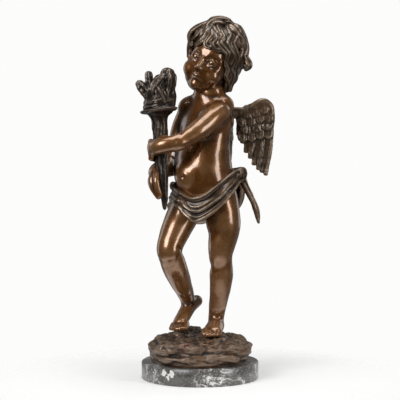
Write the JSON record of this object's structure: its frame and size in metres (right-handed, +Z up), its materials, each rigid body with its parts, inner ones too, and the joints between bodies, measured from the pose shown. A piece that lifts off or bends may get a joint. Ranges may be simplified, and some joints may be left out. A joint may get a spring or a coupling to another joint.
{
  "type": "cupid statue",
  "caption": "Patinated cast cupid with wings and hip drapery, holding a flaming torch, standing on rocky ground over a round marble plinth.",
  "frame": {"origin": "centre of the plinth's round underside, on the floor", "axes": "+Z up, -Y towards the viewer of the pictured front, +X towards the cupid's left wing"},
  "size_m": [0.176, 0.1531, 0.4578],
  "materials": {
    "bronze": "brown patinated cast bronze, rubbed to a soft polish on the skin",
    "marble": "polished dark grey marble with white veins"
  },
  "bodies": {
    "root": {"bronze_cupid": "bronze", "marble_plinth": "marble"}
  },
  "joints": []
}
